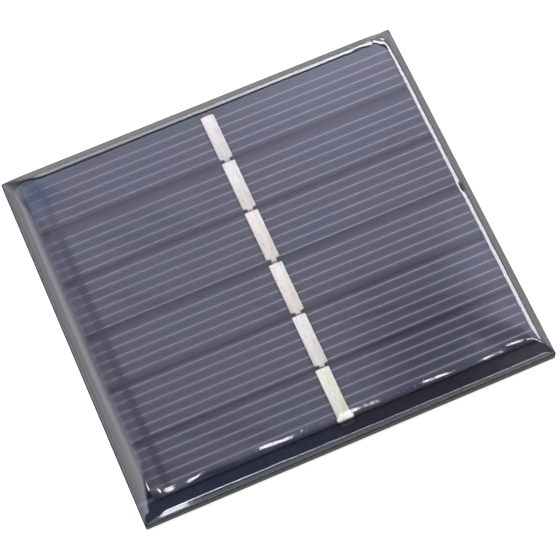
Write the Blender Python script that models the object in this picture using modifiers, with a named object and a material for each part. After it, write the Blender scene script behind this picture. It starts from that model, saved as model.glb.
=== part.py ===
"""A mini solar panel: six silicon strip cells wired in series on a circuit board, under a poured resin dome.

The frame is the panel's own: origin at the centre of the board's back face, +X along the long side (the way the
silver fingers run), +Y along the cell string towards the positive end, and +Z out of the lit face. Lengths are in
metres.

From the bottom up: board with a solder pad flush in its back face and another flush in its front face at each end,
a filled via joining each pair, two adhesive strips, the six cells with a rear contact below and a silver grid on
top, the tinned ribbons that run from the top of one cell to the bottom of the next, and the clear dome over it all.
"""

import math

import bmesh
import bpy
from mathutils import Matrix

MM = 0.001

# --- Driving dimensions ---------------------------------------------------------------------------------------
BOARD_LENGTH = 65.0 * MM
BOARD_WIDTH = 60.0 * MM
BOARD_THICKNESS = 1.6 * MM
BOARD_CORNER_RADIUS = 0.4 * MM
PANEL_HEIGHT = 3.0 * MM
CLEARANCE = 0.03 * MM  # between pieces that touch on the real panel

CELL_COUNT = 6
CELL_LENGTH = 60.8 * MM
CELL_WIDTH = 8.75 * MM
CELL_THICKNESS = 0.18 * MM
CELL_GAPS = (0.4 * MM, 0.4 * MM, 0.7 * MM, 0.4 * MM, 0.4 * MM)  # hand-laid, so one is wider
STRING_CENTRE_X = 0.5 * MM
STRING_FAR_Y = 27.8 * MM

CONTACT_THICKNESS = 0.03 * MM
CONTACT_MARGIN = 0.5 * MM
GRID_THICKNESS = 0.03 * MM
GRID_MARGIN = 0.3 * MM
FINGER_PITCH = 1.55 * MM
FINGER_WIDTH = 0.15 * MM
BUSBAR_WIDTH = 1.6 * MM
# Each strip is sawn from another place on its wafer, so its first finger lies at its own distance from the edge.
FIRST_FINGER = (1.65 * MM, 1.75 * MM, 0.85 * MM, 1.20 * MM, 0.55 * MM, 0.95 * MM)

RIBBON_WIDTH = 2.15 * MM
RIBBON_THICKNESS = 0.15 * MM
RIBBON_X = (0.60 * MM, 0.60 * MM, 0.55 * MM, 0.50 * MM, 0.35 * MM, 0.15 * MM)
RIBBON_START = 0.10 * MM  # from the far edge of its cell
FIRST_RIBBON_START = 0.65 * MM
RIBBON_REACH_UNDER = 6.0 * MM
NECK_WIDTH = 0.85 * MM
NECK_SHOULDER = 0.12 * MM  # how far the neck reaches past the gap on each side
NECK_TAPER = 0.03 * MM
FOOT_LENGTH = 0.75 * MM

ADHESIVE_WIDTH = 8.0 * MM
ADHESIVE_OFFSET = 17.0 * MM
ADHESIVE_THICKNESS = 0.15 * MM

FRONT_PAD_THICKNESS = 0.05 * MM
BACK_PAD_THICKNESS = 0.06 * MM
BACK_PAD_SIZE = (6.0 * MM, 3.6 * MM)
PAD_CORNER_RADIUS = 0.5 * MM
VIA_RADIUS = 0.35 * MM

DOME_INSET = 0.15 * MM
DOME_LIP = 0.12 * MM  # upright foot of the resin at the board's edge
MENISCUS_LENGTH = 1.9 * MM  # over which the rim's slope dies away
DOME_FLAT_FROM = 10.0 * MM  # distance from the edge where the top is taken as level
DOME_RINGS = 14
DOME_CORNER_RADIUS = 0.4 * MM
DOME_CORNER_GROWTH = 1.9  # how much faster the contours round off than they move in
CORNER_STEPS = 9

# --- Levels, from the back face up ----------------------------------------------------------------------------
BOARD_TOP = BOARD_THICKNESS
UNDER_LEVEL = BOARD_TOP + CLEARANCE  # bottom of whatever lies on the board
CONTACT_BOTTOM = UNDER_LEVEL + RIBBON_THICKNESS + CLEARANCE
CELL_BOTTOM = CONTACT_BOTTOM + CONTACT_THICKNESS + CLEARANCE
GRID_BOTTOM = CELL_BOTTOM + CELL_THICKNESS + CLEARANCE
RIBBON_BOTTOM = GRID_BOTTOM + GRID_THICKNESS + CLEARANCE
RIBBON_TOP = RIBBON_BOTTOM + RIBBON_THICKNESS

# --- Colours --------------------------------------------------------------------------------------------------
BLACK_BOARD = (0.012, 0.012, 0.016)
SILICON_BLUE = (0.045, 0.048, 0.085)
SILVER = (0.55, 0.56, 0.62)
TINNED_COPPER = (0.78, 0.77, 0.72)
ALUMINIUM_PASTE = (0.42, 0.42, 0.43)
COPPER = (0.72, 0.42, 0.22)
SOLDER = (0.74, 0.74, 0.72)
ADHESIVE = (0.82, 0.81, 0.76)
CLEAR_RESIN = (0.93, 0.95, 0.97)


def empty_scene():
    """Removes every object, so that the model is built on its own."""
    for old in list(bpy.data.objects):
        bpy.data.objects.remove(old, do_unlink=True)


def new_collection(name):
    """A collection linked to the scene."""
    collection = bpy.data.collections.new(name)
    bpy.context.scene.collection.children.link(collection)
    return collection


def finish(name, colour, roughness, metallic=0.0, transmission=0.0):
    """A Principled material."""
    material = bpy.data.materials.new(name)
    material.use_nodes = True
    shader = material.node_tree.nodes["Principled BSDF"]
    shader.inputs["Base Color"].default_value = (*colour, 1.0)
    shader.inputs["Roughness"].default_value = roughness
    shader.inputs["Metallic"].default_value = metallic
    shader.inputs["Transmission Weight"].default_value = transmission
    return material


def add_object(name, data, collection, material=None):
    """An object for a mesh or curve, in a collection and with one material."""
    made = bpy.data.objects.new(name, data)
    collection.objects.link(made)
    if material is not None:
        data.materials.append(material)
    return made


def box_mesh(name, low, high, corner_radius=0.0):
    """A box between two corners. Its upright edges are rounded when a radius is given."""
    size = [b - a for a, b in zip(low, high)]
    centre = [(a + b) / 2 for a, b in zip(low, high)]
    shape = bmesh.new()
    place = Matrix.Translation(centre) @ Matrix.Diagonal((*size, 1.0))
    bmesh.ops.create_cube(shape, size=1.0, matrix=place)
    if corner_radius > 0:
        upright = [e for e in shape.edges if abs(e.verts[0].co.z - e.verts[1].co.z) > size[2] / 2]
        bmesh.ops.bevel(shape, geom=upright, offset=corner_radius, segments=4, profile=0.5, affect="EDGES")
    mesh = bpy.data.meshes.new(name)
    shape.to_mesh(mesh)
    shape.free()
    return mesh


def plate(name, centre, size, bottom, thickness, collection, material=None, corner_radius=0.0):
    """A flat piece given by its centre and size in plan, its lower level and its thickness."""
    low = (centre[0] - size[0] / 2, centre[1] - size[1] / 2, bottom)
    high = (centre[0] + size[0] / 2, centre[1] + size[1] / 2, bottom + thickness)
    return add_object(name, box_mesh(name, low, high, corner_radius), collection, material)


def cylinder(name, centre, radius, bottom, top, collection, material=None):
    """An upright round bar."""
    shape = bmesh.new()
    place = Matrix.Translation((centre[0], centre[1], (bottom + top) / 2))
    bmesh.ops.create_cone(
        shape, cap_ends=True, segments=24, radius1=radius, radius2=radius, depth=top - bottom, matrix=place
    )
    mesh = bpy.data.meshes.new(name)
    shape.to_mesh(mesh)
    shape.free()
    mesh.shade_smooth()
    mesh.set_sharp_from_angle(angle=math.radians(40))
    return add_object(name, mesh, collection, material)


def cut(target, cutter):
    """Takes a cutter's volume out of a piece, and keeps the cutter out of sight."""
    cutter.hide_render = True
    cutter.display_type = "WIRE"
    boolean = target.modifiers.new(f"cut by {cutter.name}", "BOOLEAN")
    boolean.operation = "DIFFERENCE"
    boolean.solver = "EXACT"
    boolean.object = cutter


def strip_mesh(name, centre_x, stations):
    """An open strip across X that passes through stations of (y, z, width)."""
    shape = bmesh.new()
    first_y, first_z, first_width = stations[0]
    ends = [shape.verts.new((centre_x + side * first_width / 2, first_y, first_z)) for side in (-1, 1)]
    leading = shape.edges.new(ends)
    for y, z, width in stations[1:]:
        grown = bmesh.ops.extrude_edge_only(shape, edges=[leading])["geom"]
        leading = next(part for part in grown if isinstance(part, bmesh.types.BMEdge))
        corners = sorted(leading.verts, key=lambda corner: corner.co.x)
        for corner, side in zip(corners, (-1, 1)):
            corner.co = (centre_x + side * width / 2, y, z)
    bmesh.ops.recalc_face_normals(shape, faces=shape.faces)
    mesh = bpy.data.meshes.new(name)
    shape.to_mesh(mesh)
    shape.free()
    return mesh


def ribbon(name, centre_x, stations, collection, material):
    """A tinned copper ribbon: an open strip thickened to the ribbon's gauge."""
    strip = add_object(name, strip_mesh(name, centre_x, stations), collection, material)
    solidify = strip.modifiers.new("ribbon gauge", "SOLIDIFY")
    solidify.thickness = RIBBON_THICKNESS
    solidify.offset = 0.0
    solidify.use_even_offset = True
    return strip


def cell_spans():
    """The (near, far) limits of each cell along Y, from the far end of the string."""
    spans = []
    far = STRING_FAR_Y
    for gap in (*CELL_GAPS, 0.0):
        near = far - CELL_WIDTH
        spans.append((near, far))
        far = near - gap
    return spans


def add_board(parts, cutters, pads):
    """The circuit board, with a shallow pocket for each pad and a hole for each via."""
    board = plate(
        "back_board",
        (0.0, 0.0),
        (BOARD_LENGTH, BOARD_WIDTH),
        0.0,
        BOARD_THICKNESS,
        parts,
        finish("board", BLACK_BOARD, 0.45),
        BOARD_CORNER_RADIUS,
    )
    for pole, pad in pads.items():
        front = [side + 2 * CLEARANCE for side in pad["front_size"]]
        back = [side + 2 * CLEARANCE for side in BACK_PAD_SIZE]
        pocket_floor = BOARD_TOP - FRONT_PAD_THICKNESS - CLEARANCE
        corner = PAD_CORNER_RADIUS + CLEARANCE
        cut(board, plate(f"{pole}_front_pocket", pad["front"], front, pocket_floor, 1 * MM, cutters, None, corner))
        back_bottom = BACK_PAD_THICKNESS + CLEARANCE - 1 * MM
        cut(board, plate(f"{pole}_back_pocket", pad["back"], back, back_bottom, 1 * MM, cutters, None, corner))
        hole_radius = VIA_RADIUS + CLEARANCE
        cut(board, cylinder(f"{pole}_via_hole", pad["via"], hole_radius, -1 * MM, 3 * MM, cutters))
    return board


def add_pads(parts, pads):
    """Front and back copper pads and the filled via between them, at each pole."""
    copper = finish("copper_pad", COPPER, 0.35, 1.0)
    tinned = finish("tinned_pad", SOLDER, 0.3, 1.0)
    via_solder = finish("via_solder", SOLDER, 0.35, 1.0)
    for pole, pad in pads.items():
        front_bottom = BOARD_TOP - FRONT_PAD_THICKNESS
        plate(
            f"{pole}_front_pad",
            pad["front"],
            pad["front_size"],
            front_bottom,
            FRONT_PAD_THICKNESS,
            parts,
            copper,
            PAD_CORNER_RADIUS,
        )
        plate(
            f"{pole}_terminal_pad",
            pad["back"],
            BACK_PAD_SIZE,
            0.0,
            BACK_PAD_THICKNESS,
            parts,
            tinned,
            PAD_CORNER_RADIUS,
        )
        via_bottom = BACK_PAD_THICKNESS + CLEARANCE
        cylinder(f"{pole}_via", pad["via"], VIA_RADIUS, via_bottom, front_bottom - CLEARANCE, parts, via_solder)


def add_adhesive(parts, string_centre_y, string_width):
    """The two double-sided strips that hold the string on the board."""
    glue = finish("adhesive", ADHESIVE, 0.7)
    for side, sign in (("left", -1), ("right", 1)):
        centre = (STRING_CENTRE_X + sign * ADHESIVE_OFFSET, string_centre_y)
        size = (ADHESIVE_WIDTH, string_width - 1 * MM)
        plate(f"adhesive_strip_{side}", centre, size, UNDER_LEVEL, ADHESIVE_THICKNESS, parts, glue)


def comb_outline(far, near, first_finger, busbar_x):
    """The plan outline of a silver grid: a busbar with fingers out to both sides, as (x, y) points."""
    fingers = []
    y = far - first_finger
    while y > near + GRID_MARGIN:
        fingers.append(y)
        y -= FINGER_PITCH
    right_tip = STRING_CENTRE_X + CELL_LENGTH / 2 - GRID_MARGIN
    left_tip = STRING_CENTRE_X - CELL_LENGTH / 2 + GRID_MARGIN
    half_finger = FINGER_WIDTH / 2
    outline = []
    for side, tip, order in ((1, right_tip, fingers), (-1, left_tip, fingers[::-1])):
        root = busbar_x + side * BUSBAR_WIDTH / 2
        end = far - GRID_MARGIN if side > 0 else near + GRID_MARGIN
        outline.append((root, end))
        for finger in order:
            upper = finger + side * half_finger
            lower = finger - side * half_finger
            outline += [(root, upper), (tip, upper), (tip, lower), (root, lower)]
        outline.append((root, near + GRID_MARGIN if side > 0 else far - GRID_MARGIN))
    return outline


def flat_outline(name, points, bottom, thickness, collection, material):
    """A flat piece with any outline: a filled 2D curve with an extrusion."""
    curve = bpy.data.curves.new(name, "CURVE")
    curve.dimensions = "2D"
    curve.fill_mode = "BOTH"
    curve.extrude = thickness / 2
    spline = curve.splines.new("POLY")
    spline.points.add(len(points) - 1)
    for point, (x, y) in zip(spline.points, points):
        point.co = (x, y, 0.0, 1.0)
    spline.use_cyclic_u = True
    made = add_object(name, curve, collection, material)
    made.location.z = bottom + thickness / 2
    return made


def add_cells(parts):
    """Each strip cell with its rear contact and its silver grid."""
    silicon = finish("silicon", SILICON_BLUE, 0.3)
    rear = finish("rear_contact", ALUMINIUM_PASTE, 0.6, 0.8)
    silver = finish("silver", SILVER, 0.4, 0.7)
    for number, (near, far) in enumerate(cell_spans(), 1):
        centre = (STRING_CENTRE_X, (near + far) / 2)
        size = (CELL_LENGTH, CELL_WIDTH)
        plate(f"cell_{number}", centre, size, CELL_BOTTOM, CELL_THICKNESS, parts, silicon)
        inner = [side - 2 * CONTACT_MARGIN for side in size]
        plate(f"rear_contact_{number}", centre, inner, CONTACT_BOTTOM, CONTACT_THICKNESS, parts, rear)
        outline = comb_outline(far, near, FIRST_FINGER[number - 1], RIBBON_X[number - 1])
        flat_outline(f"silver_grid_{number}", outline, GRID_BOTTOM, GRID_THICKNESS, parts, silver)


def add_ribbons(parts, pads):
    """The ribbons: each from the top of its cell through the gap to the bottom of the next, the last to a pad."""
    tinned = finish("tinned_copper", TINNED_COPPER, 0.35, 0.9)
    spans = cell_spans()
    upper = RIBBON_BOTTOM + RIBBON_THICKNESS / 2
    lower = UNDER_LEVEL + RIBBON_THICKNESS / 2
    for number, (near, far) in enumerate(spans, 1):
        start = far - (FIRST_RIBBON_START if number == 1 else RIBBON_START)
        if number < CELL_COUNT:
            gap = CELL_GAPS[number - 1]
            drop = near - gap / 2
            neck_in = near + NECK_SHOULDER
            neck_out = near - gap - NECK_SHOULDER
            stations = [
                (start, upper, RIBBON_WIDTH),
                (neck_in + NECK_TAPER, upper, RIBBON_WIDTH),
                (neck_in, upper, NECK_WIDTH),
                (drop, upper, NECK_WIDTH),
                (drop, lower, NECK_WIDTH),
                (neck_out, lower, NECK_WIDTH),
                (neck_out - NECK_TAPER, lower, RIBBON_WIDTH),
                (neck_out - RIBBON_REACH_UNDER, lower, RIBBON_WIDTH),
            ]
        else:
            drop = near - RIBBON_THICKNESS / 2 - CLEARANCE
            stations = [
                (start, upper, RIBBON_WIDTH),
                (drop, upper, RIBBON_WIDTH),
                (drop, lower, RIBBON_WIDTH),
                (drop - FOOT_LENGTH, lower, RIBBON_WIDTH),
            ]
        ribbon(f"tab_ribbon_{number}", RIBBON_X[number - 1], stations, parts, tinned)
    pad_y = pads["positive"]["front"][1]
    lead = [(pad_y + 0.5 * MM, lower, RIBBON_WIDTH), (spans[0][0] + 1.5 * MM, lower, RIBBON_WIDTH)]
    ribbon("positive_lead_tab", RIBBON_X[0], lead, parts, tinned)


def add_solder(parts, cutters, pads):
    """The solder at each pole: a bead over the last ribbon's bend, and a low one at the end of the first tab."""
    solder = finish("solder", SOLDER, 0.25, 1.0)
    near = cell_spans()[-1][0]
    centre_x = RIBBON_X[-1]
    bead_low = (centre_x - 1.6 * MM, near - 0.75 * MM, UNDER_LEVEL)
    bead_high = (centre_x + 1.6 * MM, near + 0.6 * MM, RIBBON_TOP + 0.22 * MM)
    bead = add_object("negative_solder_joint", box_mesh("negative_solder_joint", bead_low, bead_high), parts, solder)
    rounding = bead.modifiers.new("rounding", "BEVEL")
    rounding.width = 0.18 * MM
    rounding.segments = 3
    half_slot = RIBBON_WIDTH / 2 + CLEARANCE
    beyond = 1 * MM
    outer_face = near - RIBBON_THICKNESS - 2 * CLEARANCE
    clearances = {
        "cell_room": (
            (centre_x - 3 * MM, near - CLEARANCE, UNDER_LEVEL - beyond),
            (centre_x + 3 * MM, near + 2 * MM, RIBBON_BOTTOM),
        ),
        "ribbon_room": (
            (centre_x - half_slot, outer_face, UNDER_LEVEL - beyond),
            (centre_x + half_slot, near + 2 * MM, RIBBON_TOP + CLEARANCE),
        ),
        "foot_room": (
            (centre_x - half_slot, near - 2 * MM, UNDER_LEVEL - beyond),
            (centre_x + half_slot, near, UNDER_LEVEL + RIBBON_THICKNESS + CLEARANCE),
        ),
    }
    for name, (low, high) in clearances.items():
        cut(bead, add_object(name, box_mesh(name, low, high), cutters))
    pad_x, pad_y = pads["positive"]["front"]
    low_bead = plate(
        "positive_solder_joint",
        (pad_x, pad_y + 1.05 * MM),
        (RIBBON_WIDTH, 0.9 * MM),
        UNDER_LEVEL,
        0.13 * MM,
        parts,
        solder,
        0.2 * MM,
    )
    return bead, low_bead


def rim_height(distance):
    """The resin's height above its foot, at a distance in from its edge: a meniscus that levels out."""
    full = 1 - math.exp(-DOME_FLAT_FROM / MENISCUS_LENGTH)
    rise = PANEL_HEIGHT - UNDER_LEVEL - DOME_LIP
    return DOME_LIP + rise * (1 - math.exp(-distance / MENISCUS_LENGTH)) / full


def contour(distance):
    """The dome's outline at a distance in from its edge, as (x, y) points round a rectangle with round corners."""
    half_x = BOARD_LENGTH / 2 - DOME_INSET - distance
    half_y = BOARD_WIDTH / 2 - DOME_INSET - distance
    radius = DOME_CORNER_RADIUS + DOME_CORNER_GROWTH * distance
    points = []
    for quarter in range(4):
        sign_x = 1 if quarter in (0, 3) else -1
        sign_y = 1 if quarter in (0, 1) else -1
        for step in range(CORNER_STEPS + 1):
            angle = math.pi / 2 * (quarter + step / CORNER_STEPS)
            x = sign_x * (half_x - radius) + radius * math.cos(angle)
            y = sign_y * (half_y - radius) + radius * math.sin(angle)
            points.append((x, y))
    return points


def dome_mesh():
    """The resin as a loft through its contours, from its foot to its level top."""
    shape = bmesh.new()
    sections = [(0.0, 0.0)]
    for ring in range(DOME_RINGS + 1):
        distance = DOME_FLAT_FROM * (ring / DOME_RINGS) ** 1.8
        sections.append((distance, rim_height(distance)))
    rings = []
    for distance, height in sections:
        rings.append([shape.verts.new((x, y, UNDER_LEVEL + height)) for x, y in contour(distance)])
    for below, above in zip(rings, rings[1:]):
        for index in range(len(below)):
            following = (index + 1) % len(below)
            shape.faces.new((below[index], below[following], above[following], above[index]))
    shape.faces.new(rings[0][::-1])
    shape.faces.new(rings[-1])
    mesh = bpy.data.meshes.new("epoxy_dome")
    shape.to_mesh(mesh)
    shape.free()
    mesh.shade_smooth()
    mesh.set_sharp_from_angle(angle=math.radians(35))
    return mesh


def add_dome(parts, cutters):
    """The clear dome, hollowed from below for the string, its ribbons and the solder bead."""
    dome = add_object("epoxy_dome", dome_mesh(), parts, finish("clear_resin", CLEAR_RESIN, 0.05, 0.0, 1.0))
    spans = cell_spans()
    near, far = spans[-1][0], spans[0][1]
    room = 4 * CLEARANCE
    below = UNDER_LEVEL - 1 * MM
    left = STRING_CENTRE_X - CELL_LENGTH / 2 - room
    right = STRING_CENTRE_X + CELL_LENGTH / 2 + room
    bead_front = near - 0.75 * MM - room
    hollows = {
        "cell_hollow": ((left, near - FOOT_LENGTH - 0.4 * MM, below), (right, far + room, RIBBON_BOTTOM)),
        "ribbon_hollow": ((-1.0 * MM, near, below), (2.2 * MM, far - 0.4 * MM, RIBBON_TOP + CLEARANCE)),
        "bead_hollow": (
            (RIBBON_X[-1] - 1.6 * MM - room, bead_front, below),
            (RIBBON_X[-1] + 1.6 * MM + room, near + 0.6 * MM + room, RIBBON_TOP + 0.22 * MM + CLEARANCE),
        ),
    }
    for name, (low, high) in hollows.items():
        cut(dome, add_object(name, box_mesh(name, low, high), cutters))
    return dome


def main():
    """Builds the whole panel."""
    empty_scene()
    parts = new_collection("Solar_Panel")
    cutters = new_collection("Cutters")
    spans = cell_spans()
    near, far = spans[-1][0], spans[0][1]
    pads = {
        "positive": {
            "front": (RIBBON_X[0], far - 3.8 * MM),
            "front_size": (4.8 * MM, 4.0 * MM),
            "via": (RIBBON_X[0] + 1.8 * MM, far - 3.2 * MM),
            "back": (RIBBON_X[0], far - 2.3 * MM),
        },
        "negative": {
            "front": (RIBBON_X[-1] + 0.6 * MM, near - 0.85 * MM),
            "front_size": (5.0 * MM, 1.6 * MM),
            "via": (RIBBON_X[-1] + 2.45 * MM, near - 0.85 * MM),
            "back": (RIBBON_X[-1] + 0.4 * MM, near),
        },
    }
    add_board(parts, cutters, pads)
    add_pads(parts, pads)
    add_adhesive(parts, (near + far) / 2, far - near)
    add_cells(parts)
    add_ribbons(parts, pads)
    add_solder(parts, cutters, pads)
    add_dome(parts, cutters)


main()
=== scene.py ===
"""The looks of the mini solar panel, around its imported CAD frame.

Shapes are worked out in millimetres, in the frame's own axes, and turned into metres when a mesh is made.
"""

import functools
import math
import random

import bmesh
import bpy
from mathutils import Matrix, Vector, noise


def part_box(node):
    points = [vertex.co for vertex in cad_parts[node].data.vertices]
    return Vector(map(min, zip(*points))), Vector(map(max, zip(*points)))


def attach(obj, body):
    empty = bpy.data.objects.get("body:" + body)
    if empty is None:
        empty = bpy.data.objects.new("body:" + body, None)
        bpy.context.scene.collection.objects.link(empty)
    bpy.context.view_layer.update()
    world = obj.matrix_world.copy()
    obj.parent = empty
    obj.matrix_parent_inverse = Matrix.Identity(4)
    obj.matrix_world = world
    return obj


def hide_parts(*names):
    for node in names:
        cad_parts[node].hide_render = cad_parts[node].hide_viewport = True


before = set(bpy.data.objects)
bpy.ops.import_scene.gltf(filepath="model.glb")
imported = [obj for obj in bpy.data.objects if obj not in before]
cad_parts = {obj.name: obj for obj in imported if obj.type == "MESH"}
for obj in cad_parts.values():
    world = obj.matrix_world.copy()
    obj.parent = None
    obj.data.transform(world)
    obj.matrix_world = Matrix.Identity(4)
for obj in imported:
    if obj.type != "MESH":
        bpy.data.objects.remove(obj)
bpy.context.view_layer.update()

MM = 0.001
BODY = "root"

CELL_COUNT = 6
POLES = ("positive", "negative")

# --- Camera ---
CAMERA_PLACE = (-39.62, -140.85, 325.40)
CAMERA_RIGHT = (0.91871, -0.3912, -0.05418)  # which way the picture's right and down point
CAMERA_DOWN = (-0.37858, -0.8333, -0.40285)
CAMERA_LENS = 152.58
SENSOR_WIDTH = 36.0

# --- Resin ---
RESIN_SINK = 0.012  # how far the resin reaches into the board's face, so that the two are in contact
TOP_MARGIN = 0.012  # between the resin's level top and the top of the CAD dome, for its slow waves
RESIN_LIP = 0.10  # the upright part of the resin at its outline, along the near and left edges
RESIN_LIP_GAIN = 0.38  # what it is higher along the far and right edges
RESIN_LIP_LOW = 0.06  # what it is lower at the far-right corner
LIP_EASE = 0.02  # how far the lip's edge is rounded in
RIM_STEEP = 0.62  # lengths over which the rim's steep foot and its long crown level out
RIM_LONG = 2.7
RIM_STEEP_SHARE = 0.56
KNEE_WALL = 0.75  # heights, slope and lengths of the rim along the far and right edges
KNEE_WALL_FOOT = 1.1
KNEE_WALL_SOFT = 0.05
KNEE_SLOPE = 0.53
KNEE_PLACE = 1.93
KNEE_SOFT = 0.13
KNEE_CROWN = 0.14
KNEE_CROWN_REACH = 3.0
LEVEL_FROM = 10.0  # the top turns level between these distances from the outline
RIM_DEEP = 14.0
DENT_FROM_RIGHT = 1.2  # a dent halfway along the right rim, as its distance from the outline, and its Y
DENT_Y = 0.05
DENT_DEPTH = 0.10
DENT_SPREAD = (0.10, 0.30)  # along X and Y, in square millimetres
RIPPLE = 0.16  # ripples in the rim before the far-right corner: their height, place and reach
RIPPLE_PLACE = (27.0, 28.5)
RIPPLE_REACH = 3.0
CONTOUR_RADIUS = 0.45  # the corners' radius at the outline, and how it grows inwards
CONTOUR_GROWTH = 1.9
CONTOUR_WIDEST = 12.0
KNEE_OPENING = 2.0  # the growth across the foot of the far-right corner
PARALLEL_PAST_KNEE = 0.1
NEAR_RIGHT_GROWTH = 0.7
CORNER_STEPS = 16
SIDE_STEPS = 60
RINGS = 58

# --- Board ---
BOARD_CORNER = 0.2
MASK_THICKNESS = 0.03
CORE_BOTTOM = 0.035
PRINT_THICKNESS = 0.014
PAD_CORNER = 0.5
PAD_CLEARANCE = 0.05  # between a terminal pad and the opening in the board
MARK = (1.15, 0.2)  # half the length and width of a plus or minus bar, and its way from the pad
MARK_FROM_PAD = 2.6
LINE_HALF = 0.075  # the printed line round a pad, and its way from the pad
LINE_FROM_PAD = 0.55

# --- Cells ---
SPOTS_PLACE = 2.6  # how far from the left end the row of dark spots lies
CELL_EDGE_STEPS = (170, 26)  # along a long and a short side
CHIP_SHARE = 0.02  # how many of the steps have a chip
CELL_CORNER_CUT = 0.03
FINGER_STEP = 0.62
FINGER_WIDENING = 1.22  # the printed fingers are this much wider than the CAD ones
BUSBAR_HALF = 0.8
BUSBAR_STEPS = 24

# --- Ribbons ---
RIBBON_THICKNESS = 0.15
RIBBON_ROUND = 0.035  # how far in from its sides it rounds over, and how far in its solder rises
SOLDER_RISE = 0.16
SOLDER_COAT = (0.028, 0.03, 0.014)  # the solder's height on it, and its slow and quick waves
RIBBON_TIP = 0.06
RIBBON_STATIONS = 26
RIBBON_TURN = 0.13  # the radius of its bends down into the gap
NECK_HALF = 0.43
NECK_STARTS = (0.22, 0.13, 0.08)  # before its cell's edge: still wide, half narrowed, and narrow
NECK_ENDS = (0.10, 0.18)  # past the gap: still narrow, and wide again
LAST_GAP = 0.36  # what stands for the gap where the last ribbon turns down
SOLDER_BAR = (1.32, 0.38)  # half the size of the solder bar at the near end
SOLDER_BAR_SHIFT = (0.08, 0.24)  # from the CAD joint's middle along X, and from the last cell's edge

# --- Studio ---
FLOOR_GLOW = 0.7
FLOOR_HALF = 3000.0
FLOOR_LEVEL = -0.03
# The short tubes that stand in a row, each from one level of the sky's x to another.
TUBES = (
    (-0.112, -0.100),
    (-0.040, -0.034),
    (-0.012, -0.005),
    (0.0235, 0.039),
    (0.081, 0.092),
    (0.1165, 0.1225),
    (0.152, 0.159),
    (0.184, 0.193),
    (0.212, 0.218),
    (0.232, 0.238),
    (0.254, 0.60),
)


def box_mm(node):
    """The lowest and highest corners of a CAD node, in millimetres."""
    low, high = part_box(node)
    return [c / MM for c in low], [c / MM for c in high]


def halfway(low, high):
    """The point halfway between two corners."""
    return [(a + b) / 2 for a, b in zip(low, high)]


def half_size(low, high):
    """Half of a box's size along each axis."""
    return [(b - a) / 2 for a, b in zip(low, high)]


def clamped(value):
    """The value, kept between 0 and 1."""
    return min(max(value, 0.0), 1.0)


def eased(value):
    """The value, kept between 0 and 1 with a soft start and end."""
    t = clamped(value)
    return t * t * (3 - 2 * t)


def bumps(x, y, z):
    """Smooth noise between -1 and 1."""
    return noise.noise(Vector((x, y, z)))


def softplus(value, soft):
    """The value where it is well over 0 and 0 where it is well under, in units of soft."""
    return math.log1p(math.exp(value / soft))


# --- Node helpers ---


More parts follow.
